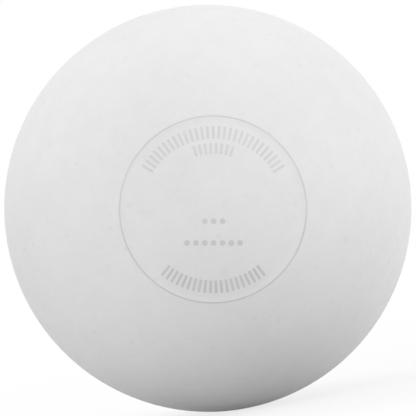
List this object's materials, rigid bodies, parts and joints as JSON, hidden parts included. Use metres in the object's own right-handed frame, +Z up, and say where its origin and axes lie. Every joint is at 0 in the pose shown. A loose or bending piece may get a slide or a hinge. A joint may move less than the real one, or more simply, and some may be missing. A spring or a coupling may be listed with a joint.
{
  "type": "lacrosse ball",
  "caption": "Solid matte white rubber ball for lacrosse, with a fine moulded parting line and a thin grey ring printed round a shallow panel on its front, thrown and caught with a netted stick.",
  "frame": {"origin": "centre of the ball", "axes": "+Z up; the printed ring and its panel are on the -Y side and are round about Y; the parting line lies in the XZ plane"},
  "size_m": [0.0636, 0.0634, 0.0636],
  "materials": {
    "white_rubber": "matte white vulcanised rubber",
    "grey_ink": "flat light grey rubber ink"
  },
  "bodies": {
    "root": {"rubber_ball": "white_rubber", "printed_ring": "grey_ink"}
  },
  "joints": []
}
